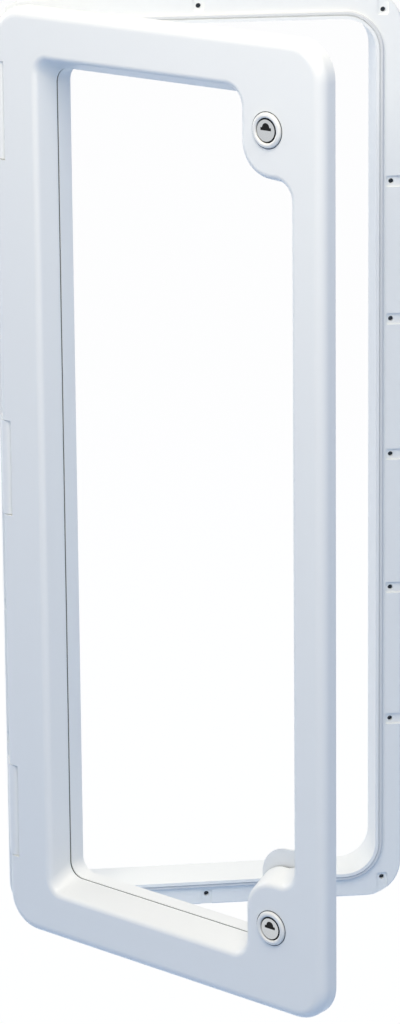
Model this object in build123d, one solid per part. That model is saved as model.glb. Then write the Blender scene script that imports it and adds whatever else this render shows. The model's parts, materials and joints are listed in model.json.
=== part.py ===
"""Caravan service door: a flanged frame for a wall cut-out and a hinged, two-shell door leaf.

Millimetres. X runs to the right seen from outside, Y into the wall and Z up. Y = 0 is the wall's outer
skin, where the frame's flange seats. The leaf is drawn shut and then swung open about its hinge pins.
"""

from build123d import *
import math
import os

# Fixed frame
FRAME_WIDTH = 316.0
FRAME_HEIGHT = 740.0
FRAME_CORNER = 28.0          # flange and leaf
FLANGE_THICK = 4.0
FLANGE_CHAMFER = 1.0
COLLAR_INSET = 21.0          # flange's outer edge to the collar's inner face
COLLAR_WALL = 2.5
COLLAR_CORNER = 25.0         # collar's inner face
COLLAR_DEPTH = 30.0          # behind the wall's outer skin
RIB_HEIGHT = 4.0             # upstand of the collar in front of the flange
ORIGIN_RISE = 14.0           # origin above the frame's lower edge
SEAL_WIDTH = 3.6
SEAL_HEIGHT = 3.0
SEAL_GAP = 0.1               # seal to the rib
SEAL_CHAMFER = 1.0

# Screw holes in pockets that are open to the flange's outer edge
HOLE_DIAMETER = 4.0
HOLE_INSET = 8.5
CORNER_HOLE_INSET = 15.0
SIDE_HOLE_PITCH = 110.0
LOCK_SIDE_ROWS = (-2, -1, 0, 1, 2)
HINGE_SIDE_ROWS = (-2, -1, 1, 2)
POCKET_WIDTH = 9.0
POCKET_DEPTH = 1.6
POCKET_REACH = 12.6          # outer edge to the pocket's inner end
POCKET_ROUND = 2.0

# Front shell of the leaf
LEAF_GAP = 7.0               # flange front to the rear edge of the leaf's skirt
LEAF_THICK = 16.0            # face to the rear edge of the skirt
LEAF_ROUND = 8.0             # front outer edge
SKIN = 2.5
FACE_ROUND = 5.0             # soft edge between the face and the slope
HINGE_STILE = 44.5           # outer edge to the end of the flat face
STILE = 27.2
RAIL = 37.0
HINGE_SLOPE = 3.5            # run of the slope from the face to the lip
LOCK_SLOPE = 9.0
RAIL_SLOPE = 9.0
SLOPE_DEPTH = 19.5
SLOPE_WALL = 2.2
LIP_THICK = 1.5
FACE_CORNER = 11.0           # opening's corners at the flat face
LIP_CORNER = 12.0
OPEN_ANGLE = 46.0

# Lock bosses in the two corners away from the hinges
BOSS_REACH = 74.0            # from the leaf's lock edge
BOSS_HEIGHT = 102.0          # from the leaf's top or bottom edge
BOSS_END_SLOPE = 6.0         # run of the slope at the boss's end
BOSS_FILLET = 14.0
BOSS_DRAFT = 1.0
NOSE_FLAT = 5.8              # straight part of the boss's end, at the face
NOSE_LIP_FLAT = 0.8          # the same at the lip
BOSS_NOSE = BOSS_REACH - STILE - BOSS_FILLET - NOSE_FLAT
BOSS_LIP_NOSE = BOSS_REACH + BOSS_DRAFT - STILE - LOCK_SLOPE - BOSS_FILLET - NOSE_LIP_FLAT

# Rear shell of the leaf
REAR_WALL = 2.0
RIM_GAP = 0.2                # rear shell's rim inside the front shell's skirt
PLATE_DEPTH = 14.0           # face to the back of the outer plate, which clears the frame's rib
BODY_INSET = 27.5            # outer edge to the body that goes into the collar
BODY_DEPTH = 36.5            # face to the back of that body
PANEL_SLOT = 1.5             # between the lip and the inner wall
SEAT_INSET = 16.0            # wall that stands against the inside of the face
LEDGE = 13.5                 # panel rest above the lower boss, beyond the front shell's lip

# Hinges
HINGE_LENGTH = 76.0
HINGE_END = 89.0             # mean of the outer hinges' distances from the frame's ends
HINGE_SPACING = FRAME_HEIGHT / 2 - HINGE_END
HINGE_RISE = 8.0             # middle hinge above the frame's mid-height
PIN_INSET = 6.2              # pin's axis from the leaf's edge and from its face
BARREL_RADIUS = 5.8
KNUCKLE_GAP = 0.6
PIN_DIAMETER = 3.0
PIN_FIT = 0.01               # pin in the fixed barrel
PIN_SLACK = 0.05             # pin in the leaf's lugs
HINGE_SEAM = 12.8            # leaf's outer edge to the wall of the hinge notch
HINGE_ARM = 4.0              # wall that carries the barrel
HINGE_FOOT = 10.0            # width of the base on the flange
HINGE_BASE = 3.0
LUG_RADIUS = 2.9
LUG_LENGTH = 8.0
LUG_GAP = 0.2                # lug to the end of the notch and to the seat wall
LUG_THICK = 3.0

# Cam locks
LOCK_FROM_EDGE = 49.0
LOCK_FROM_END = 67.0
BEZEL_DIAMETER = 26.5
BEZEL_THICK = 2.4
BEZEL_CHAMFER = 1.2
BARREL_DIAMETER = 20.0
BARREL_SEAT = 0.2
BARREL_LENGTH = 48.5
PLUG_DIAMETER = 16.0
PLUG_SLACK = 0.05
MOUTH_DIAMETER = 18.4
MOUTH_DEPTH = 3.0
PLUG_FACE = 1.6              # plug's front in front of the leaf's face
NUT_FLATS = 24.0
NUT_THICK = 5.0
CAM_THICK = 2.5
CAM_WIDTH = 14.0
CAM_REACH = 30.0
CAM_CRANK = 12.0             # plug's axis to the bend
CAM_CLEAR = 5.0              # collar's rear edge to the cam's tip
CAM_STEP = 0.5               # barrel's rear end to the cam
SCREW_HEAD = 8.0
SCREW_HEIGHT = 2.6
KEYHOLE_WIDTH = 9.6
KEYHOLE_BRIM = 2.2
KEYHOLE_CROWN = 3.3
KEYHOLE_DEPTH = 1.6
SHUTTER_THICK = 1.0
SHUTTER_FIT = 0.02

# Derived places
BOTTOM = -ORIGIN_RISE
TOP = BOTTOM + FRAME_HEIGHT
MIDDLE = (BOTTOM + TOP) / 2
LEFT = -FRAME_WIDTH / 2
RIGHT = FRAME_WIDTH / 2
FLANGE_FRONT = -FLANGE_THICK
RIB_FRONT = FLANGE_FRONT - RIB_HEIGHT
LEAF_REAR = FLANGE_FRONT - LEAF_GAP
LEAF_FRONT = LEAF_REAR - LEAF_THICK
BODY_BACK = LEAF_FRONT + BODY_DEPTH
PIN_X = LEFT + PIN_INSET
PIN_Y = LEAF_FRONT + PIN_INSET
HINGE_HEIGHTS = {
    "upper": MIDDLE + HINGE_RISE + HINGE_SPACING,
    "middle": MIDDLE + HINGE_RISE,
    "lower": MIDDLE + HINGE_RISE - HINGE_SPACING,
}
LOCK_X = RIGHT - LOCK_FROM_EDGE
LOCK_HEIGHTS = {"upper": TOP - LOCK_FROM_END, "lower": BOTTOM + LOCK_FROM_END}
CAM_FRONT = LEAF_FRONT + BARREL_LENGTH + CAM_STEP
CAM_TIP = COLLAR_DEPTH + CAM_CLEAR


def wall_plane(y):
    """A plane parallel to the wall: local x along X, local y along Z, facing outwards."""
    return Plane(origin=(0, y, 0), x_dir=(1, 0, 0), z_dir=(0, -1, 0))


def slab(face, front, back):
    """A flat outline made solid between two depths."""
    return extrude(wall_plane(back) * face, back - front)


def outline(inset):
    """The frame's outer outline, drawn in by an inset on all sides."""
    radius = max(FRAME_CORNER - inset, 4.0)
    return Pos(0, MIDDLE) * RectangleRounded(FRAME_WIDTH - 2 * inset, FRAME_HEIGHT - 2 * inset, radius)


def collar_outline(inset):
    """An outline that runs alongside the collar, at an inset from the frame's outer edge."""
    radius = max(COLLAR_CORNER + COLLAR_INSET - inset, 4.0)
    return Pos(0, MIDDLE) * RectangleRounded(FRAME_WIDTH - 2 * inset, FRAME_HEIGHT - 2 * inset, radius)


def collar_ring(outer_inset, inner_inset, front, back):
    """A flat ring alongside the collar."""
    return slab(collar_outline(outer_inset) - collar_outline(inner_inset), front, back)


def disc(x, z, diameter, front, back):
    """A round solid across the wall's plane."""
    return slab(Pos(x, z) * Circle(diameter / 2), front, back)


def rod(x, y, low, high, radius):
    """An upright round solid."""
    return Pos(x, y, low) * Cylinder(radius, high - low, align=(Align.CENTER, Align.CENTER, Align.MIN))


def block(x0, x1, y0, y1, z0, z1):
    """A box between two corners."""
    return Pos((x0 + x1) / 2, (y0 + y1) / 2, (z0 + z1) / 2) * Box(x1 - x0, y1 - y0, z1 - z0)


def rounded_polygon(points, radii):
    """A closed outline of square corners, each with its own round."""
    edges = []
    ends = []
    count = len(points)
    for i, radius in enumerate(radii):
        here = Vector(*points[i])
        before = (Vector(*points[i - 1]) - here).normalized()
        after = (Vector(*points[(i + 1) % count]) - here).normalized()
        start = here + before * radius
        stop = here + after * radius
        middle = here + (before + after) * radius * (1 - math.sqrt(0.5))
        edges.append(ThreePointArc(start, middle, stop))
        ends.append((start, stop))
    for i in range(count):
        edges.append(Line(ends[i][1], ends[(i + 1) % count][0]))
    return make_face(edges)


def screw_places():
    """Every screw hole: its place and the way its pocket opens."""
    edge = FRAME_WIDTH / 2 - HOLE_INSET
    corner = FRAME_WIDTH / 2 - CORNER_HOLE_INSET
    places = []
    for side, rows in ((-1, HINGE_SIDE_ROWS), (1, LOCK_SIDE_ROWS)):
        for row in rows:
            places.append((side * edge, MIDDLE + row * SIDE_HOLE_PITCH, 0 if side > 0 else 180))
    for level in (-1, 1):
        places.append((0, MIDDLE + level * (FRAME_HEIGHT / 2 - HOLE_INSET), 90 * level))
        for side in (-1, 1):
            height = MIDDLE + level * (FRAME_HEIGHT / 2 - CORNER_HOLE_INSET)
            places.append((side * corner, height, 90 * level))
    return places


def screw_pocket(x, z, turn):
    """A shallow pocket around a screw hole, open towards the flange's outer edge."""
    reach = POCKET_REACH - HOLE_INSET
    length = 2 * HOLE_INSET + reach
    shape = Pos(length / 2 - reach, 0) * RectangleRounded(length, POCKET_WIDTH, POCKET_ROUND)
    return slab(Pos(x, z) * Rot(0, 0, turn) * shape, FLANGE_FRONT - 1, FLANGE_FRONT + POCKET_DEPTH)


def fixed_frame():
    """Flange, upstand rib and collar in one moulding, with the screw pockets cut in."""
    flange = slab(outline(0), FLANGE_FRONT, 0)
    front = flange.faces().sort_by(Axis.Y)[0]
    flange = chamfer(front.edges(), FLANGE_CHAMFER)
    body = flange + slab(collar_outline(COLLAR_INSET - COLLAR_WALL), RIB_FRONT, COLLAR_DEPTH)
    body -= slab(collar_outline(COLLAR_INSET), RIB_FRONT - 1, COLLAR_DEPTH + 1)
    for x, z, turn in screw_places():
        body -= screw_pocket(x, z, turn)
        body -= disc(x, z, HOLE_DIAMETER, FLANGE_FRONT - 1, 1)
    return body


def frame_seal():
    """Soft strip on the flange beside the rib, bevelled in front."""
    inner = COLLAR_INSET - COLLAR_WALL - SEAL_GAP
    body = collar_ring(inner - SEAL_WIDTH, inner, FLANGE_FRONT - SEAL_HEIGHT, FLANGE_FRONT)
    front = body.faces().sort_by(Axis.Y)[0]
    return chamfer(front.edges(), SEAL_CHAMFER)


def opening(t, grow, ledge=0.0):
    """The leaf's opening, less the two bosses. t runs from 0 at the flat face to 1 at the lip."""
    left = LEFT + HINGE_STILE + t * HINGE_SLOPE - grow
    right = RIGHT - STILE - t * LOCK_SLOPE + grow
    low = BOTTOM + RAIL + t * RAIL_SLOPE - grow
    high = TOP - RAIL - t * RAIL_SLOPE + grow
    boss_x = RIGHT - BOSS_REACH - t * BOSS_DRAFT + grow
    boss_end = BOSS_HEIGHT + t * BOSS_END_SLOPE - grow
    boss_low = BOTTOM + boss_end + ledge
    boss_high = TOP - boss_end
    points = [(left, low), (boss_x, low), (boss_x, boss_low), (right, boss_low),
              (right, boss_high), (boss_x, boss_high), (boss_x, high), (left, high)]
    corner = FACE_CORNER + t * (LIP_CORNER - FACE_CORNER) + grow
    throat = BOSS_FILLET + grow
    nose = BOSS_NOSE + t * (BOSS_LIP_NOSE - BOSS_NOSE) - grow
    return rounded_polygon(points, [corner, throat, nose, throat, throat, nose, throat, corner])


def funnel(front, grow):
    """The opening as a solid: sloped from a depth near the face to the lip, then straight through the lip."""
    near = wall_plane(LEAF_FRONT + front) * opening(front / SLOPE_DEPTH, grow)
    far = wall_plane(LEAF_FRONT + SLOPE_DEPTH) * opening(1, grow)
    lip = slab(opening(1, grow), LEAF_FRONT + SLOPE_DEPTH, LEAF_FRONT + SLOPE_DEPTH + LIP_THICK)
    return loft([near, far], ruled=True) + lip


def hinge_notches():
    """The three gaps in the leaf's hinge edge that take the fixed barrels."""
    cuts = []
    for height in HINGE_HEIGHTS.values():
        low = height - HINGE_LENGTH / 2
        cuts.append(block(LEFT - 1, LEFT + HINGE_SEAM, LEAF_FRONT - 1, LEAF_REAR + 1, low, low + HINGE_LENGTH))
    return cuts


def lock_holes():
    """Holes for the two lock barrels, through the whole leaf."""
    hole = BARREL_DIAMETER + 2 * BARREL_SEAT
    return [disc(LOCK_X, z, hole, LEAF_FRONT - 1, BODY_BACK + 1) for z in LOCK_HEIGHTS.values()]


def door_front_frame():
    """Front shell: rounded skirt, flat face, slope to the lip and flush lock bosses, hollow behind."""
    block_out = slab(outline(0), LEAF_FRONT, LEAF_REAR)
    block_in = slab(outline(SKIN), LEAF_FRONT + SKIN, LEAF_REAR)
    body = fillet(block_out.faces().sort_by(Axis.Y)[0].edges(), LEAF_ROUND)
    body -= chamfer(block_in.faces().sort_by(Axis.Y)[0].edges(), (LEAF_ROUND - SKIN) / 2)
    body += funnel(SKIN / 2, SLOPE_WALL)
    body -= funnel(0, 0) + slab(opening(0, 0), LEAF_FRONT - 1, LEAF_FRONT)
    face = body.faces().filter_by(Plane.XZ).sort_by(Axis.Y)[0]
    body = fillet(face.inner_wires()[0].edges(), FACE_ROUND)
    for cut in hinge_notches() + lock_holes():
        body -= cut
    return body


def door_rear_frame():
    """Rear shell: an outer plate that clears the rib, a body inside the collar and the wall behind the slot."""
    plate = LEAF_FRONT + PLATE_DEPTH - REAR_WALL
    slot_back = LEAF_FRONT + SLOPE_DEPTH + LIP_THICK + PANEL_SLOT
    inside = BODY_INSET + REAR_WALL
    body = slab(outline(SKIN + RIM_GAP) - collar_outline(inside), plate, plate + REAR_WALL)
    body += slab(outline(SEAT_INSET) - outline(SEAT_INSET + REAR_WALL), LEAF_FRONT + SKIN, plate)
    body += collar_ring(BODY_INSET, inside, plate, BODY_BACK)
    hole = opening(1, 0)
    rest = hole - opening(1, 0, LEDGE)
    body += slab(collar_outline(BODY_INSET) - hole, BODY_BACK - REAR_WALL, BODY_BACK)
    body += slab(opening(1, REAR_WALL) - hole, slot_back, BODY_BACK)
    body += slab(rest, slot_back, slot_back + REAR_WALL)
    for cut in hinge_notches() + lock_holes():
        body -= cut
    return body


def hinge_bracket(height):
    """Fixed half of a hinge: a base on the flange and one long armed barrel, bored for the pin."""
    half = HINGE_LENGTH / 2 - KNUCKLE_GAP
    low, high = height - half, height + half
    left = PIN_X - BARREL_RADIUS
    body = rod(PIN_X, PIN_Y, low, high, BARREL_RADIUS)
    body += block(left, left + HINGE_ARM, PIN_Y, FLANGE_FRONT, low, high)
    body += block(left, left + HINGE_FOOT, FLANGE_FRONT - HINGE_BASE, FLANGE_FRONT, low, high)
    body -= rod(PIN_X, PIN_Y, low - 1, high + 1, PIN_DIAMETER / 2)
    return body


def hinge_lug(height, way):
    """Lug inside the leaf's edge at one end of a hinge notch, seated on the back of the face and bored for the pin."""
    near = HINGE_LENGTH / 2 + LUG_GAP
    far = near + LUG_LENGTH
    low, high = sorted((height + way * near, height + way * far))
    inside = LEAF_FRONT + SKIN
    body = rod(PIN_X, PIN_Y, low, high, LUG_RADIUS)
    body += block(PIN_X, LEFT + SEAT_INSET - LUG_GAP, inside, inside + LUG_THICK, low, high)
    return body - rod(PIN_X, PIN_Y, low - 1, high + 1, PIN_DIAMETER / 2 + PIN_SLACK)


def hinge_pin(height):
    """Steel pin through the barrel and both lugs of a hinge."""
    half = HINGE_LENGTH / 2 + LUG_LENGTH
    return rod(PIN_X, PIN_Y, height - half, height + half, PIN_DIAMETER / 2 - PIN_FIT)


def lock_bezel(z):
    """Round trim ring on the boss, bevelled in front."""
    body = disc(LOCK_X, z, BEZEL_DIAMETER, LEAF_FRONT - BEZEL_THICK, LEAF_FRONT)
    front = body.faces().sort_by(Axis.Y)[0]
    body = chamfer(front.edges(), BEZEL_CHAMFER)
    return body - disc(LOCK_X, z, MOUTH_DIAMETER, LEAF_FRONT - BEZEL_THICK - 1, LEAF_FRONT + 1)


def lock_housing(z):
    """Lock barrel through the leaf, with a wider mouth around the plug."""
    back = LEAF_FRONT + BARREL_LENGTH
    body = disc(LOCK_X, z, BARREL_DIAMETER, LEAF_FRONT, back)
    body -= disc(LOCK_X, z, PLUG_DIAMETER + 2 * PLUG_SLACK, LEAF_FRONT - 1, back + 1)
    return body - disc(LOCK_X, z, MOUTH_DIAMETER, LEAF_FRONT - 1, LEAF_FRONT + MOUTH_DEPTH)


def lock_nut(z):
    """Hexagon nut that clamps the barrel to the rear shell, a flat towards the strike."""
    shape = RegularPolygon(NUT_FLATS / 2, 6, major_radius=False, rotation=30)
    body = slab(Pos(LOCK_X, z) * shape, BODY_BACK, BODY_BACK + NUT_THICK)
    return body - disc(LOCK_X, z, BARREL_DIAMETER + 2 * BARREL_SEAT, BODY_BACK - 1, BODY_BACK + NUT_THICK + 1)


def keyhole(grow):
    """Outline of the key entry in the plug's upper half: a brim with a rounded crown."""
    brim = Pos(0, KEYHOLE_BRIM / 2) * Rectangle(KEYHOLE_WIDTH + 2 * grow, KEYHOLE_BRIM + 2 * grow)
    crown = Pos(0, KEYHOLE_BRIM) * Circle(KEYHOLE_CROWN + grow)
    above = Pos(0, KEYHOLE_BRIM / 2 + KEYHOLE_WIDTH / 2) * Rectangle(KEYHOLE_WIDTH, KEYHOLE_WIDTH)
    return brim + (crown & above)


def lock_plug(z):
    """Turning plug with the key entry sunk into its face."""
    front = LEAF_FRONT - PLUG_FACE
    body = disc(LOCK_X, z, PLUG_DIAMETER, front, CAM_FRONT)
    return body - slab(Pos(LOCK_X, z) * keyhole(0.0), front - 1, front + KEYHOLE_DEPTH)


def key_shutter(z):
    """Dark shutter at the bottom of the key entry."""
    back = LEAF_FRONT - PLUG_FACE + KEYHOLE_DEPTH
    return slab(Pos(LOCK_X, z) * keyhole(-SHUTTER_FIT), back - SHUTTER_THICK, back)


def lock_cam(z, way):
    """Cranked cam on the plug's tail, shown unlocked: it points towards the middle of the leaf."""
    half = CAM_WIDTH / 2
    bend = CAM_CRANK + CAM_THICK
    tip = CAM_REACH - half
    root = Circle(half) + Pos(0, way * bend / 2) * Rectangle(CAM_WIDTH, bend)
    riser = Pos(0, way * (CAM_CRANK + CAM_THICK / 2)) * Rectangle(CAM_WIDTH, CAM_THICK)
    blade = Pos(0, way * (CAM_CRANK + tip) / 2) * Rectangle(CAM_WIDTH, tip - CAM_CRANK)
    blade += Pos(0, way * tip) * Circle(half)
    body = slab(Pos(LOCK_X, z) * root, CAM_FRONT, CAM_FRONT + CAM_THICK)
    body += slab(Pos(LOCK_X, z) * riser, CAM_FRONT, CAM_TIP + CAM_THICK)
    return body + slab(Pos(LOCK_X, z) * blade, CAM_TIP, CAM_TIP + CAM_THICK)


def cam_screw(z):
    """Screw head that holds the cam."""
    front = CAM_FRONT + CAM_THICK
    return disc(LOCK_X, z, SCREW_HEAD, front, front + SCREW_HEIGHT)


def swing(solid):
    """Turns a piece of the leaf from shut to the open pose."""
    return solid.rotate(Axis((PIN_X, PIN_Y, 0), (0, 0, 1)), -OPEN_ANGLE)


def build():
    """Every piece by name, at rest."""
    pieces = {"fixed_frame": fixed_frame(), "frame_seal": frame_seal()}
    leaf = {"door_front_frame": door_front_frame(), "door_rear_frame": door_rear_frame()}
    for name, height in HINGE_HEIGHTS.items():
        pieces[f"{name}_hinge_bracket"] = hinge_bracket(height)
        pieces[f"{name}_hinge_pin"] = hinge_pin(height)
        leaf[f"{name}_hinge_high_lug"] = hinge_lug(height, 1)
        leaf[f"{name}_hinge_low_lug"] = hinge_lug(height, -1)
    for name, z in LOCK_HEIGHTS.items():
        leaf[f"{name}_lock_bezel"] = lock_bezel(z)
        leaf[f"{name}_lock_housing"] = lock_housing(z)
        leaf[f"{name}_lock_nut"] = lock_nut(z)
        leaf[f"{name}_lock_plug"] = lock_plug(z)
        leaf[f"{name}_key_shutter"] = key_shutter(z)
        leaf[f"{name}_lock_cam"] = lock_cam(z, -1 if name == "upper" else 1)
        leaf[f"{name}_cam_screw"] = cam_screw(z)
    for name, solid in leaf.items():
        pieces[name] = swing(solid)
    return pieces


os.makedirs("parts", exist_ok=True)
for node, shape in build().items():
    export_step(shape, f"parts/{node}.step")
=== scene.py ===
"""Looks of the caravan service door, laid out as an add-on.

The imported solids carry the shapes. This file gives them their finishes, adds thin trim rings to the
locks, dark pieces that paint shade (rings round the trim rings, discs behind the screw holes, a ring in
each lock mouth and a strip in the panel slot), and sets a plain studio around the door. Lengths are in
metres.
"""

import json
import math

import bmesh
import bpy
from bpy.props import FloatProperty, FloatVectorProperty, PointerProperty
from mathutils import Matrix, Vector


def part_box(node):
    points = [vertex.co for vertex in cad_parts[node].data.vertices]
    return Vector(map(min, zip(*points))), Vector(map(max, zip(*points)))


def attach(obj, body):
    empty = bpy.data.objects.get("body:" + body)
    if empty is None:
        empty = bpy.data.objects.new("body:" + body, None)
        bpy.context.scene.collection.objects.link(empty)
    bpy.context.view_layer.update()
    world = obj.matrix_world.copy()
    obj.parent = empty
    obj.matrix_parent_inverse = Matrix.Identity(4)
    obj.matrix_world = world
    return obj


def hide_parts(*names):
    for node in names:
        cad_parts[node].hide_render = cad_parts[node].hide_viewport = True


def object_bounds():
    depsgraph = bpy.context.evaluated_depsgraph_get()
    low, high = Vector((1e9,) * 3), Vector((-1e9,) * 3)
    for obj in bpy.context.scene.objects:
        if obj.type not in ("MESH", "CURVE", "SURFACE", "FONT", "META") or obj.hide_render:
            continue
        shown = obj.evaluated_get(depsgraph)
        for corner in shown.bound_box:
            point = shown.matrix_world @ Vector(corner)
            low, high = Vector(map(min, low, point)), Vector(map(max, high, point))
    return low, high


bl_info = {
    "name": "Caravan Service Door",
    "version": (1, 0, 0),
    "blender": (4, 5, 0),
    "location": "View3D > Sidebar > Service Door",
    "description": "Finishes and studio for a hinged caravan service door with two cam locks",
    "category": "Object",
}

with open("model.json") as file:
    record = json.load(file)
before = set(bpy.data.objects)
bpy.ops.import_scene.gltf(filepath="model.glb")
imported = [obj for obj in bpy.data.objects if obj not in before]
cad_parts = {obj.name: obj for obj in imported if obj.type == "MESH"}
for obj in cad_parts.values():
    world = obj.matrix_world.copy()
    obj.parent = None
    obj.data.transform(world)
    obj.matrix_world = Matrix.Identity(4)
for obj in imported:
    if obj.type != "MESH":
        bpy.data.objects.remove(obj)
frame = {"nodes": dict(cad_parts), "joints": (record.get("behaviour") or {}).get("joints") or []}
CAD_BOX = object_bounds()
JOINTS = {joint["name"]: joint for joint in frame["joints"]}
LOCKS = ("upper", "lower")
MOULDINGS = ("fixed_frame", "door_front_frame", "door_rear_frame")
HINGES = ("upper_hinge", "middle_hinge", "lower_hinge")
PHOTO_SIZE = (400, 1024)
SLIP = 0.0001  # play of a loose piece beside its neighbour
SNUG = 0.00002  # play of a piece that is pressed against its neighbour
SPIN_STEPS = 72
CORNER_STEPS = 10
SHARP_ANGLE = math.radians(40)


def linear(code):
    """An sRGB hex colour as linear red, green and blue."""
    parts = [int(code[i:i + 2], 16) / 255 for i in (1, 3, 5)]
    return tuple(p / 12.92 if p <= 0.04045 else ((p + 0.055) / 1.055) ** 2.4 for p in parts)


def add_node(tree, kind, links=(), **settings):
    """Adds a node. Settings fill its fields or sockets, and links feed its sockets from other nodes."""
    node = tree.nodes.new(kind)
    for key, value in settings.items():
        if hasattr(node, key):
            setattr(node, key, value)
        else:
            node.inputs[key.replace("_", " ").title()].default_value = value
    for socket, source, output in links:
        tree.links.new(source.outputs[output], node.inputs[socket])
    return node


def new_material(name):
    """A material with its shader and output, ready for its finish."""
    material = bpy.data.materials.new(name)
    material.use_nodes = True
    tree = material.node_tree
    shader = tree.nodes["Principled BSDF"]
    return material, tree, shader


def moulded_abs(name, colour, roughness):
    """Injection-moulded ABS: an even satin with soft broad highlights and a faint spark-eroded grain."""
    material, tree, shader = new_material(name)
    shader.inputs["Base Color"].default_value = (*colour, 1)
    shader.inputs["Roughness"].default_value = roughness
    shader.inputs["IOR"].default_value = 1.53
    place = add_node(tree, "ShaderNodeTexCoord")
    # a grain of 0.1 mm is too fine for the picture, so it is drawn wider
    grain_width = 0.0016
    grain = add_node(
        tree, "ShaderNodeTexNoise", [("Vector", place, "Object")], Scale=1 / grain_width, Detail=2.0)
    bump = add_node(tree, "ShaderNodeBump", [("Height", grain, "Fac")], Strength=0.06, Distance=0.00005)
    tree.links.new(bump.outputs["Normal"], shader.inputs["Normal"])
    return material


def rubber_and_shade_paint(name, colour):
    """Matt rubber for the flange's seal, and the same matt finish for the dark pieces that paint shade,
    with hardly any highlight.
    """
    material, _, shader = new_material(name)
    shader.inputs["Base Color"].default_value = (*colour, 1)
    shader.inputs["Roughness"].default_value = 0.72
    shader.inputs["IOR"].default_value = 1.52
    return material


def plated_metal(name, colour, roughness, mottle_width):
    """Plated or drawn metal: mirror-like, with a fine mottle of the given width that blurs it a little."""
    material, tree, shader = new_material(name)
    shader.inputs["Base Color"].default_value = (*colour, 1)
    shader.inputs["Metallic"].default_value = 1.0
    place = add_node(tree, "ShaderNodeTexCoord")
    mottle = add_node(
        tree, "ShaderNodeTexNoise", [("Vector", place, "Object")], Scale=1 / mottle_width, Detail=3.0)
    smoothest, roughest = 0.8, 1.25
    spread = add_node(tree, "ShaderNodeMapRange", [("Value", mottle, "Fac")])
    spread.inputs["To Min"].default_value = roughness * smoothest
    spread.inputs["To Max"].default_value = roughness * roughest
    tree.links.new(spread.outputs["Result"], shader.inputs["Roughness"])
    return material


def black_plastic(name, colour):
    """Moulded acetal: near black with a dull sheen."""
    material, _, shader = new_material(name)
    shader.inputs["Base Color"].default_value = (*colour, 1)
    shader.inputs["Roughness"].default_value = 0.55
    shader.inputs["IOR"].default_value = 1.48
    shader.inputs["Specular IOR Level"].default_value = 0.2
    return material


class ServiceDoorFinish(bpy.types.PropertyGroup):
    """Colours and gloss of the door's materials."""

    shell_colour: FloatVectorProperty(
        name="Shell", description="Colour of the white mouldings", subtype="COLOR",
        default=linear("#EDF0EF"))
    shell_roughness: FloatProperty(
        name="Shell roughness", description="Roughness of the white mouldings", subtype="FACTOR",
        default=0.36, min=0, max=1)
    ring_roughness: FloatProperty(
        name="Ring roughness", description="Roughness of the trim rings", subtype="FACTOR",
        default=0.28, min=0, max=1)
    seal_colour: FloatVectorProperty(
        name="Seal", description="Colour of the soft seal", subtype="COLOR", default=linear("#D9DCDD"))
    ring_colour: FloatVectorProperty(
        name="Lock ring", description="Colour of the trim rings", subtype="COLOR",
        default=linear("#E6E8E6"))
    zinc_colour: FloatVectorProperty(
        name="Zinc", description="Colour of the plated lock pieces", subtype="COLOR",
        default=linear("#C9CCCE"))
    steel_colour: FloatVectorProperty(
        name="Steel", description="Colour of pins and cams", subtype="COLOR", default=linear("#B4B7BA"))
    # painted shade: one dark colour for the discs in the screw holes and for the rings round the trim rings
    painted_shade_colour: FloatVectorProperty(
        name="Hole film", description="Colour of the hole films and of the seals around the rings",
        subtype="COLOR", default=linear("#1B2733"))
    # painted shade: the dark strip in the panel slot stands in for the slot's shadow
    slot_shade_colour: FloatVectorProperty(
        name="Slot seal", description="Colour of the seal in the panel slot", subtype="COLOR",
        default=linear("#2E322F"))
    # black of the key shutters, and painted shade for the ring in each lock mouth
    black_and_shade_colour: FloatVectorProperty(
        name="Key entry", description="Colour of the key shutter and the dust ring", subtype="COLOR",
        default=linear("#0C0D0F"))


class ServiceDoorLocks(bpy.types.PropertyGroup):
    """Sizes of the small turned pieces of the locks."""

    ring_diameter: FloatProperty(
        name="Ring diameter", description="Outside of the trim ring", unit="LENGTH", default=0.0265)
    mouth_diameter: FloatProperty(
        name="Mouth diameter", description="Inside of the trim ring", unit="LENGTH", default=0.0184)
    ring_height: FloatProperty(
        name="Ring height", description="Trim ring in front of the face", unit="LENGTH", default=0.0024)
    ring_round: FloatProperty(
        name="Ring round", description="Round on the ring's edges", unit="LENGTH", default=0.00055)
    # painted shade: the dark ring round each trim ring stands in for the shadow gap at the ring's foot
    shadow_gap_width: FloatProperty(
        name="Seal width", description="Visible width of the rubber seal around the trim ring",
        unit="LENGTH", default=0.0004)
    shadow_gap_height: FloatProperty(
        name="Seal height", description="Rubber seal in front of the face", unit="LENGTH", default=0.0003)
    plug_diameter: FloatProperty(
        name="Plug diameter", description="Turning plug in the mouth", unit="LENGTH", default=0.016)
    mouth_depth: FloatProperty(
        name="Mouth depth", description="Bottom of the mouth behind the face", unit="LENGTH", default=0.003)
    plug_gap: FloatProperty(
        name="Plug gap", description="Between the plug and the dust ring", unit="LENGTH", default=0.0003)
    # painted shade: the black ring in the mouth stands in for the shade round the plug
    mouth_shade_height: FloatProperty(
        name="Dust ring", description="Height of the dust ring in the mouth", unit="LENGTH", default=0.0016)


class ServiceDoorHoles(bpy.types.PropertyGroup):
    """Places and sizes of the flange's screw holes."""

    diameter: FloatProperty(
        name="Hole diameter", description="Screw hole in the flange", unit="LENGTH", default=0.004)
    edge_inset: FloatProperty(
        name="Edge inset", description="Hole's middle from the flange's edge", unit="LENGTH",
        default=0.0085)
    corner_inset: FloatProperty(
        name="Corner inset", description="Corner hole's middle from both edges", unit="LENGTH",
        default=0.015)
    pitch: FloatProperty(
        name="Pitch", description="Between the holes of a side row", unit="LENGTH", default=0.110)
    # the disc behind each hole is painted shade for the hole's dark inside
    shade_disc_thickness: FloatProperty(
        name="Film", description="Thickness of the film behind a hole", unit="LENGTH", default=0.0003)
    shade_disc_play: FloatProperty(
        name="Film play", description="Between the film's rim and the hole", unit="LENGTH", default=0.00005)


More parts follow.
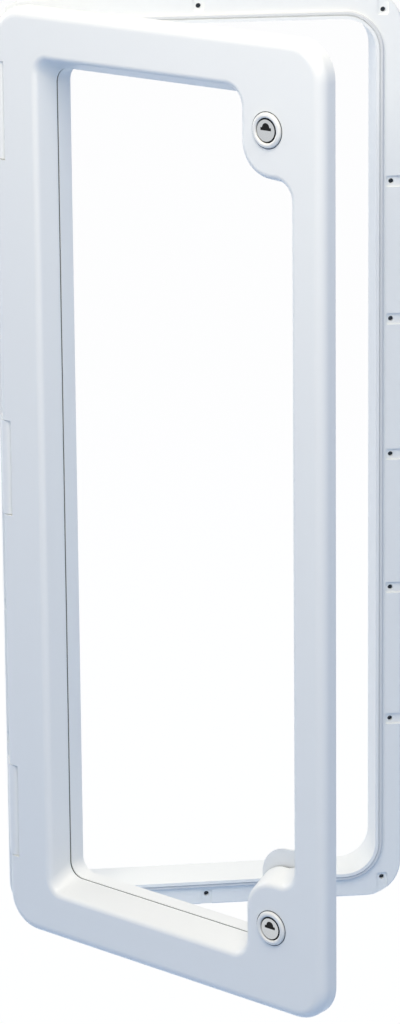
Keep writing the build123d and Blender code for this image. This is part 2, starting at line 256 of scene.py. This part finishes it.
class ServiceDoorSlot(bpy.types.PropertyGroup):
    """Sizes of the dark strip that paints shade in the leaf's panel slot, from the leaf's edges and from
    its face.
    """

    hinge_side: FloatProperty(
        name="Hinge side", description="Leaf's hinge edge to the lip", unit="LENGTH", default=0.048)
    lock_side: FloatProperty(
        name="Lock side", description="Leaf's lock edge to the lip", unit="LENGTH", default=0.0362)
    ends: FloatProperty(
        name="Ends", description="Leaf's top or bottom edge to the lip", unit="LENGTH", default=0.046)
    boss_reach: FloatProperty(
        name="Boss reach", description="Leaf's lock edge to the lip beside a boss", unit="LENGTH",
        default=0.075)
    boss_height: FloatProperty(
        name="Boss height", description="Leaf's top or bottom edge to the lip past a boss", unit="LENGTH",
        default=0.108)
    corner: FloatProperty(
        name="Corner", description="Radius of the lip's corners", unit="LENGTH", default=0.012)
    throat: FloatProperty(
        name="Throat", description="Radius where a boss starts", unit="LENGTH", default=0.014)
    nose: FloatProperty(
        name="Nose", description="Radius of a boss's corner", unit="LENGTH", default=0.024)
    depth: FloatProperty(
        name="Depth", description="Leaf's face to the slot", unit="LENGTH", default=0.021)
    width: FloatProperty(
        name="Width", description="Width of the slot", unit="LENGTH", default=0.0015)
    recess: FloatProperty(
        name="Recess", description="Lip to the seal's visible edge", unit="LENGTH", default=0.0004)
    reach: FloatProperty(
        name="Reach", description="Seal's visible edge to its hidden edge", unit="LENGTH", default=0.002)
    lock_inset: FloatProperty(
        name="Lock inset", description="Leaf's lock edge to the middle of a lock", unit="LENGTH",
        default=0.049)


class ServiceDoorStage(bpy.types.PropertyGroup):
    """The studio and the camera."""

    floor_drop: FloatProperty(
        name="Floor", description="Floor below the frame's lower edge, as ground lies below a door",
        unit="LENGTH", default=0.4)
    floor_colour: FloatVectorProperty(
        name="Floor colour", description="Colour of the floor in the light it gives back", subtype="COLOR",
        default=linear("#AFC9EA"))
    floor_white: FloatProperty(
        name="Floor white", description="Brightness of the floor as the camera sees it", default=1.02)
    floor_share: FloatProperty(
        name="Floor share", description="Share of that white in the floor, beside its own light and shadow",
        subtype="FACTOR", default=0.96, min=0, max=1)
    sky_strength: FloatProperty(
        name="Sky", description="Strength of the light from all round", default=0.50)
    horizon_colour: FloatVectorProperty(
        name="Horizon", description="Colour of the light from the sides", subtype="COLOR",
        default=linear("#3F7CC6"))
    zenith_colour: FloatVectorProperty(
        name="Zenith", description="Colour of the light from above", subtype="COLOR",
        default=linear("#FBFCFF"))
    sky_top: FloatVectorProperty(
        name="Sky top", description="Direction of the sky's brightest part", subtype="XYZ",
        default=(0.0, -0.1, 0.995))
    key_power: FloatProperty(
        name="Key lamp", description="Power of the large lamp above the door", unit="POWER", default=29)
    fill_power: FloatProperty(
        name="Fill lamp", description="Power of the lamp at the right", unit="POWER", default=2.0)
    rear_power: FloatProperty(
        name="Rear lamp", description="Power of the wide lamp behind the door", unit="POWER", default=26.0)
    collar_power: FloatProperty(
        name="Collar lamp", description="Power of the lamp behind the hinge side, for the collar's inside",
        unit="POWER", default=15.0)
    camera_place: FloatVectorProperty(
        name="Camera", description="Place of the camera", subtype="TRANSLATION", unit="LENGTH",
        default=(-0.301711, -2.692098, 1.132064))
    camera_turn: FloatVectorProperty(
        name="Camera turn", description="Pitch below level, roll, and turn to the right", subtype="EULER",
        unit="ROTATION", default=(math.radians(11.897), math.radians(0.521), math.radians(6.4)))
    focal_pixels: FloatProperty(
        name="Focal length", description="In pixels of a picture 1024 high", default=3575.43)
    picture_shift: FloatProperty(
        name="Shift", description="Downward shift of the lens, as a share of the picture's height",
        default=0.3)


def dress(material, *nodes):
    """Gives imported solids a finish."""
    for node in nodes:
        slots = frame["nodes"][node].data.materials
        slots.clear()
        slots.append(material)


def lock_place(name):
    """From a lock's own axes to the row frame: x along the leaf, y inwards, z up, 0 on the leaf's face."""
    outward = Vector(JOINTS["upper_lock_turn"]["axis"])
    turn = math.atan2(outward.x, -outward.y)
    return Matrix.Translation(JOINTS[f"{name}_lock_turn"]["pos_m"]) @ Matrix.Rotation(turn, 4, "Z")


def turned(bm, profile):
    """Spins a closed profile of (radius, depth) points once around the lock's axis."""
    verts = [bm.verts.new((radius, depth, 0)) for radius, depth in profile]
    edges = [bm.edges.new((verts[i - 1], verts[i])) for i in range(len(verts))]
    bmesh.ops.spin(
        bm, geom=verts + edges, cent=(0, 0, 0), axis=(0, 1, 0), angle=math.tau, steps=SPIN_STEPS,
        use_merge=True)
    bmesh.ops.remove_doubles(bm, verts=bm.verts, dist=1e-7)
    bmesh.ops.recalc_face_normals(bm, faces=bm.faces)


def round_edges(bm, offset, segments, angle):
    """Rounds every edge that turns by more than an angle."""
    sharp = [e for e in bm.edges if e.is_manifold and e.calc_face_angle() > angle]
    bmesh.ops.bevel(
        bm, geom=sharp, offset=offset, segments=segments, profile=0.5, affect="EDGES", material=-1)


def make_piece(name, bm, material, body, place, replaces=()):
    """Turns a mesh in the making into a piece that rides on a body."""
    bm.transform(place)
    mesh = bpy.data.meshes.new(name)
    bm.to_mesh(mesh)
    bm.free()
    mesh.shade_smooth()
    mesh.set_sharp_from_angle(angle=SHARP_ANGLE)
    mesh.materials.append(material)
    piece = bpy.data.objects.new(name, mesh)
    bpy.context.scene.collection.objects.link(piece)
    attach(piece, body)
    if replaces:
        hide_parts(*replaces)


class SERVICEDOOR_OT_mouldings(bpy.types.Operator):
    """Gives the frame, both shells of the leaf and the hinges their white ABS"""

    bl_idname = "servicedoor.mouldings"
    bl_label = "White mouldings"

    def execute(self, context):
        finish = context.scene.service_door_finish
        shell = moulded_abs("moulded_white_abs", finish.shell_colour, finish.shell_roughness)
        dress(shell, *MOULDINGS)
        for hinge in HINGES:
            dress(shell, f"{hinge}_bracket", f"{hinge}_high_lug", f"{hinge}_low_lug")
        return {"FINISHED"}


class SERVICEDOOR_OT_seal(bpy.types.Operator):
    """Gives the strip on the flange its soft rubber"""

    bl_idname = "servicedoor.seal"
    bl_label = "Seal strip"

    def execute(self, context):
        finish = context.scene.service_door_finish
        dress(rubber_and_shade_paint("extruded_pale_rubber", finish.seal_colour), "frame_seal")
        return {"FINISHED"}


class SERVICEDOOR_OT_hole_painted_shade(bpy.types.Operator):
    """Puts a thin dark disc at the wall side of every screw hole, as painted shade for the dark inside of
    the hole
    """

    bl_idname = "servicedoor.hole_films"
    bl_label = "Screw hole films"

    def execute(self, context):
        sizes = context.scene.service_door_holes
        # painted shade: dark discs in the holes stand in for the shade inside them
        shade_disc = rubber_and_shade_paint("painted_hole_shade", context.scene.service_door_finish.painted_shade_colour)
        low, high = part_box("fixed_frame")
        middle = (low + high) / 2
        tall = high.z - middle.z
        edge = high.x - sizes.edge_inset
        corner = high.x - sizes.corner_inset
        # the lock side has a middle hole, and the hinge side has the middle hinge there
        rows = {1: (-2, -1, 0, 1, 2), -1: (-2, -1, 1, 2)}
        places = [(side * edge, middle.z + row * sizes.pitch) for side in rows for row in rows[side]]
        for level in (-1, 1):
            places.append((0, middle.z + level * (tall - sizes.edge_inset)))
            for side in (-1, 1):
                places.append((side * corner, middle.z + level * (tall - sizes.corner_inset)))
        radius, thickness = sizes.diameter / 2 - sizes.shade_disc_play, sizes.shade_disc_thickness
        upright = Matrix.Rotation(math.pi / 2, 4, "X")
        bm = bmesh.new()
        for x, z in places:
            bmesh.ops.create_cone(
                bm, cap_ends=True, segments=24, radius1=radius, radius2=radius, depth=thickness,
                matrix=Matrix.Translation((x, -thickness / 2, z)) @ upright)
        bmesh.ops.recalc_face_normals(bm, faces=bm.faces)
        make_piece("screw_hole_painted_shade", bm, shade_disc, "frame", Matrix.Identity(4))
        return {"FINISHED"}


class SERVICEDOOR_OT_pins(bpy.types.Operator):
    """Gives the hinge pins their drawn stainless steel"""

    bl_idname = "servicedoor.pins"
    bl_label = "Hinge pins"

    def execute(self, context):
        finish = context.scene.service_door_finish
        steel = plated_metal(
            "drawn_stainless_steel", finish.steel_colour, roughness=0.3, mottle_width=0.0008)
        dress(steel, *[f"{hinge}_pin" for hinge in HINGES])
        return {"FINISHED"}


class SERVICEDOOR_OT_lock_rings(bpy.types.Operator):
    """Turns the rounded trim rings in front of the locks, and the thin dark rings around them that paint
    the shadow gap at each ring's foot
    """

    bl_idname = "servicedoor.lock_rings"
    bl_label = "Lock trim rings"

    def execute(self, context):
        sizes = context.scene.service_door_locks
        finish = context.scene.service_door_finish
        ring = moulded_abs("moulded_ring_abs", finish.ring_colour, finish.ring_roughness)
        # painted shade: the dark ring round each trim ring stands in for the shadow gap at its foot
        rubber = rubber_and_shade_paint("ring_gap_painted_shade", finish.painted_shade_colour)
        outer, mouth, height = sizes.ring_diameter / 2, sizes.mouth_diameter / 2, sizes.ring_height
        crest, mouth_edge = mouth + (outer - mouth) * 0.35, height * 0.7
        shoulder, outer_edge = outer - height * 0.3, height * 0.75
        profile = [(mouth, 0), (mouth, -mouth_edge), (crest, -height), (shoulder, -outer_edge), (outer, 0)]
        near, far, front = outer + SNUG, outer + sizes.shadow_gap_width, -sizes.shadow_gap_height
        for name in LOCKS:
            place = lock_place(name)
            bm = bmesh.new()
            turned(bm, profile)
            round_edges(bm, sizes.ring_round, segments=4, angle=math.radians(12))
            make_piece(
                f"{name}_trim_ring", bm, ring, "leaf", place, [f"{name}_lock_bezel"])
            bm = bmesh.new()
            turned(bm, [(near, -SNUG), (near, front), (far, front), (far, -SNUG)])
            make_piece(f"{name}_ring_painted_shadow_gap", bm, rubber, "leaf", place)
        return {"FINISHED"}


class SERVICEDOOR_OT_lock_cylinders(bpy.types.Operator):
    """Finishes the barrels, nuts, plugs, cams and key shutters, and adds a black ring at the bottom of each
    mouth, painted shade for the gap round the plug
    """

    bl_idname = "servicedoor.lock_cylinders"
    bl_label = "Lock cylinders"

    def execute(self, context):
        finish = context.scene.service_door_finish
        sizes = context.scene.service_door_locks
        zinc = plated_metal("nickel_plated_zinc", finish.zinc_colour, roughness=0.16, mottle_width=0.0006)
        steel = plated_metal("zinc_plated_steel", finish.steel_colour, roughness=0.34, mottle_width=0.0012)
        black = black_plastic("black_acetal_and_painted_shade", finish.black_and_shade_colour)
        inner, outer = sizes.plug_diameter / 2 + sizes.plug_gap, sizes.mouth_diameter / 2 - SLIP
        back = sizes.mouth_depth - SLIP
        front = back - sizes.mouth_shade_height
        for name in LOCKS:
            dress(zinc, f"{name}_lock_housing", f"{name}_lock_nut", f"{name}_lock_plug")
            dress(steel, f"{name}_lock_cam", f"{name}_cam_screw")
            dress(black, f"{name}_key_shutter")
            # painted shade: a black ring at the bottom of the mouth stands in for the shade round the plug
            bm = bmesh.new()
            turned(bm, [(inner, back), (inner, front), (outer, front), (outer, back)])
            make_piece(f"{name}_mouth_painted_shade", bm, black, "leaf", lock_place(name))
        return {"FINISHED"}


class SERVICEDOOR_OT_slot_painted_shade(bpy.types.Operator):
    """Lays a dark strip into the slot that takes the panel's edge, painted shade for the slot's shadow"""

    bl_idname = "servicedoor.slot_seal"
    bl_label = "Panel slot seal"

    def execute(self, context):
        sizes = context.scene.service_door_slot
        # painted shade: a dark strip in the slot stands in for the slot's shadow
        rubber = rubber_and_shade_paint("slot_shade_paint", context.scene.service_door_finish.slot_shade_colour)
        bm = bmesh.new()
        corners = [bm.verts.new((x, sizes.depth + SLIP, z)) for x, z in self.corners(sizes)]
        bm.faces.new(corners)
        for radius, places in ((sizes.corner, (0, 7)), (sizes.throat, (1, 3, 4, 6)), (sizes.nose, (2, 5))):
            self.round_corners(bm, [corners[i] for i in places], radius)
        # the outline's edges are drawn back into a band, and the band is then given its reach
        lid = bm.faces[:][0]
        band = bmesh.ops.extrude_edge_only(bm, edges=lid.edges[:])["geom"]
        moved = [v for v in band if isinstance(v, bmesh.types.BMVert)]
        bmesh.ops.translate(bm, vec=(0, sizes.width - 2 * SLIP, 0), verts=moved)
        bmesh.ops.delete(bm, geom=[lid], context="FACES_ONLY")
        bmesh.ops.recalc_face_normals(bm, faces=bm.faces)
        bmesh.ops.solidify(bm, geom=bm.faces[:], thickness=-sizes.reach)
        bmesh.ops.recalc_face_normals(bm, faces=bm.faces)
        make_piece("panel_slot_painted_shade", bm, rubber, "leaf", self.leaf_place(sizes))
        return {"FINISHED"}

    def round_corners(self, bm, corners, radius):
        """Rounds corners of a flat outline."""
        bmesh.ops.bevel(
            bm, geom=corners, offset=radius, segments=CORNER_STEPS, profile=0.5, affect="VERTICES",
            material=-1)

    def leaf_place(self, sizes):
        """From the leaf's own axes to the row frame, 0 at mid-width and mid-height on the leaf's face."""
        upper, lower = lock_place("upper"), lock_place("lower")
        between = Matrix.Translation((upper.translation + lower.translation) / 2)
        turn = upper.to_3x3().to_4x4()
        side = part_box("fixed_frame")[1].x - sizes.lock_inset
        return between @ turn @ Matrix.Translation((-side, 0, 0))

    def corners(self, sizes):
        """The corners of the dark strip's visible edge, which lies a recess behind the lip."""
        low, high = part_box("fixed_frame")
        half, tall = high.x + sizes.recess, (high.z - low.z) / 2 + sizes.recess
        left, right = sizes.hinge_side - half, half - sizes.lock_side
        end, boss = tall - sizes.ends, tall - sizes.boss_height
        beside = half - sizes.boss_reach
        return [(left, -end), (beside, -end), (beside, -boss), (right, -boss),
                (right, boss), (beside, boss), (beside, end), (left, end)]


class SERVICEDOOR_OT_stage(bpy.types.Operator):
    """Sets the floor, the light and the camera"""

    bl_idname = "servicedoor.stage"
    bl_label = "Studio"

    def execute(self, context):
        stage = context.scene.service_door_stage
        self.floor(stage)
        self.world(context.scene, stage)
        centre = (CAD_BOX[0] + CAD_BOX[1]) / 2
        above = centre + Vector((0, 0, 0.1))
        warm, cool, white = linear("#FFF5E5"), linear("#F4F8FF"), linear("#FFFDF8")
        self.lamp("key_lamp", stage.key_power, warm, above, place=(-0.30, -1.05, 1.69), size=1.4)
        self.lamp("fill_lamp", stage.fill_power, cool, centre, place=(1.5, -1.2, 0.9), size=0.9)
        self.lamp("rear_lamp", stage.rear_power, white, centre, place=(1.7, 1.9, 0.8), size=1.4)
        self.lamp("collar_lamp", stage.collar_power, white, centre, place=(-1.6, 1.3, 0.9), size=1.2)
        self.camera(context.scene, stage)
        context.scene.view_settings.view_transform = "Standard"
        return {"FINISHED"}

    def floor(self, stage):
        """A wide pale blue floor that looks white to the camera and keeps a faint shadow."""
        bm = bmesh.new()
        bmesh.ops.create_circle(bm, cap_ends=True, segments=64, radius=30)
        bm.transform(Matrix.Translation((0, 0, CAD_BOX[0].z - stage.floor_drop)))
        mesh = bpy.data.meshes.new("studio_floor")
        bm.to_mesh(mesh)
        bm.free()
        floor = bpy.data.objects.new("studio_floor", mesh)
        bpy.context.scene.collection.objects.link(floor)
        material, tree, shader = new_material("pale_studio_vinyl")
        shader.inputs["Base Color"].default_value = (*stage.floor_colour, 1)
        shader.inputs["Roughness"].default_value = 0.9
        shader.inputs["Specular IOR Level"].default_value = 0.0
        glow = add_node(tree, "ShaderNodeEmission", Color=(1, 1, 1, 1), Strength=stage.floor_white)
        mix = add_node(tree, "ShaderNodeMixShader", [(1, shader, "BSDF"), (2, glow, "Emission")])
        tree.links.new(self.seen(tree, stage.floor_share).outputs["Value"], mix.inputs["Fac"])
        tree.links.new(mix.outputs["Shader"], tree.nodes["Material Output"].inputs["Surface"])
        mesh.materials.append(material)

    def seen(self, tree, share):
        """A share for rays that the camera, a mirror or glass sends, and nothing for the rest."""
        path = add_node(tree, "ShaderNodeLightPath")
        first = add_node(tree, "ShaderNodeMath", operation="MAXIMUM")
        tree.links.new(path.outputs["Is Camera Ray"], first.inputs[0])
        tree.links.new(path.outputs["Is Glossy Ray"], first.inputs[1])
        both = add_node(tree, "ShaderNodeMath", operation="MAXIMUM")
        tree.links.new(first.outputs["Value"], both.inputs[0])
        tree.links.new(path.outputs["Is Transmission Ray"], both.inputs[1])
        scaled = add_node(tree, "ShaderNodeMath", operation="MULTIPLY")
        tree.links.new(both.outputs["Value"], scaled.inputs[0])
        scaled.inputs[1].default_value = share
        return scaled

    def world(self, scene, stage):
        """White to look at, with light that is white from above and blue near the horizon."""
        world = bpy.data.worlds.new("studio_world")
        scene.world = world
        world.use_nodes = True
        tree = world.node_tree
        place = add_node(tree, "ShaderNodeTexCoord")
        lean = add_node(tree, "ShaderNodeVectorMath", [(0, place, "Generated")], operation="DOT_PRODUCT")
        lean.inputs[1].default_value = stage.sky_top
        ramp = add_node(tree, "ShaderNodeMapRange", [("Value", lean, "Value")], From_Min=0.0, From_Max=1.0)
        tint = add_node(tree, "ShaderNodeMix", [("Factor", ramp, "Result")], data_type="RGBA")
        horizon, zenith = [s for s in tint.inputs if s.type == "RGBA"]
        horizon.default_value = (*stage.horizon_colour, 1)
        zenith.default_value = (*stage.zenith_colour, 1)
        light = tree.nodes["Background"]
        colour = [s for s in tint.outputs if s.type == "RGBA"][0]
        tree.links.new(colour, light.inputs["Color"])
        light.inputs["Strength"].default_value = stage.sky_strength
        white = add_node(tree, "ShaderNodeBackground", Color=(1, 1, 1, 1), Strength=1.0)
        mix = add_node(tree, "ShaderNodeMixShader", [(1, light, "Background"), (2, white, "Background")])
        tree.links.new(self.seen(tree, 1.0).outputs["Value"], mix.inputs["Fac"])
        tree.links.new(mix.outputs["Shader"], tree.nodes["World Output"].inputs["Surface"])

    def lamp(self, name, power, colour, target, place, size):
        """A square soft lamp that looks at a point."""
        data = bpy.data.lights.new(name, "AREA")
        data.size = size
        data.energy = power
        data.color = colour
        lamp = bpy.data.objects.new(name, data)
        lamp.location = place
        lamp.rotation_euler = (target - Vector(place)).to_track_quat("-Z", "Y").to_euler()
        bpy.context.scene.collection.objects.link(lamp)

    def camera(self, scene, stage):
        """The photograph's viewpoint."""
        data = bpy.data.cameras.new("photo_camera")
        data.sensor_fit = "AUTO"
        data.sensor_width = 36.0
        data.lens = stage.focal_pixels / PHOTO_SIZE[1] * data.sensor_width
        data.shift_y = -stage.picture_shift
        camera = bpy.data.objects.new("photo_camera", data)
        pitch, roll, turn = stage.camera_turn
        level = Matrix.Rotation(-turn, 4, "Z") @ Matrix.Rotation(math.pi / 2 - pitch, 4, "X")
        aim = level @ Matrix.Rotation(-roll, 4, "Z")
        camera.matrix_world = Matrix.Translation(stage.camera_place) @ aim
        bpy.context.scene.collection.objects.link(camera)
        scene.camera = camera


class SERVICEDOOR_PT_sidebar(bpy.types.Panel):
    """Lists the pieces and their settings"""

    bl_label = "Service Door"
    bl_idname = "SERVICEDOOR_PT_sidebar"
    bl_space_type = "VIEW_3D"
    bl_region_type = "UI"
    bl_category = "Service Door"

    def draw(self, context):
        layout = self.layout
        for operator in OPERATORS:
            layout.operator(operator.bl_idname)
        for group in [getattr(context.scene, name) for name in GROUPS]:
            box = layout.box()
            for name in group.bl_rna.properties.keys():
                if name not in ("rna_type", "name"):
                    box.prop(group, name)


GROUPS = {
    "service_door_finish": ServiceDoorFinish,
    "service_door_locks": ServiceDoorLocks,
    "service_door_holes": ServiceDoorHoles,
    "service_door_slot": ServiceDoorSlot,
    "service_door_stage": ServiceDoorStage,
}
OPERATORS = (
    SERVICEDOOR_OT_mouldings,
    SERVICEDOOR_OT_seal,
    SERVICEDOOR_OT_hole_painted_shade,
    SERVICEDOOR_OT_pins,
    SERVICEDOOR_OT_lock_rings,
    SERVICEDOOR_OT_lock_cylinders,
    SERVICEDOOR_OT_slot_painted_shade,
    SERVICEDOOR_OT_stage,
)


def register():
    for group in GROUPS.values():
        bpy.utils.register_class(group)
    for name, group in GROUPS.items():
        setattr(bpy.types.Scene, name, PointerProperty(type=group))
    for operator in OPERATORS:
        bpy.utils.register_class(operator)
    bpy.utils.register_class(SERVICEDOOR_PT_sidebar)


def unregister():
    bpy.utils.unregister_class(SERVICEDOOR_PT_sidebar)
    for operator in reversed(OPERATORS):
        bpy.utils.unregister_class(operator)
    for name in GROUPS:
        delattr(bpy.types.Scene, name)
    for group in reversed(GROUPS.values()):
        bpy.utils.unregister_class(group)


def main():
    """Builds every piece in order."""
    register()
    bpy.ops.servicedoor.mouldings()
    bpy.ops.servicedoor.seal()
    bpy.ops.servicedoor.hole_films()
    bpy.ops.servicedoor.pins()
    bpy.ops.servicedoor.lock_rings()
    bpy.ops.servicedoor.lock_cylinders()
    bpy.ops.servicedoor.slot_seal()
    bpy.ops.servicedoor.stage()
    bpy.context.view_layer.update()


if __name__ == "__main__":
    main()
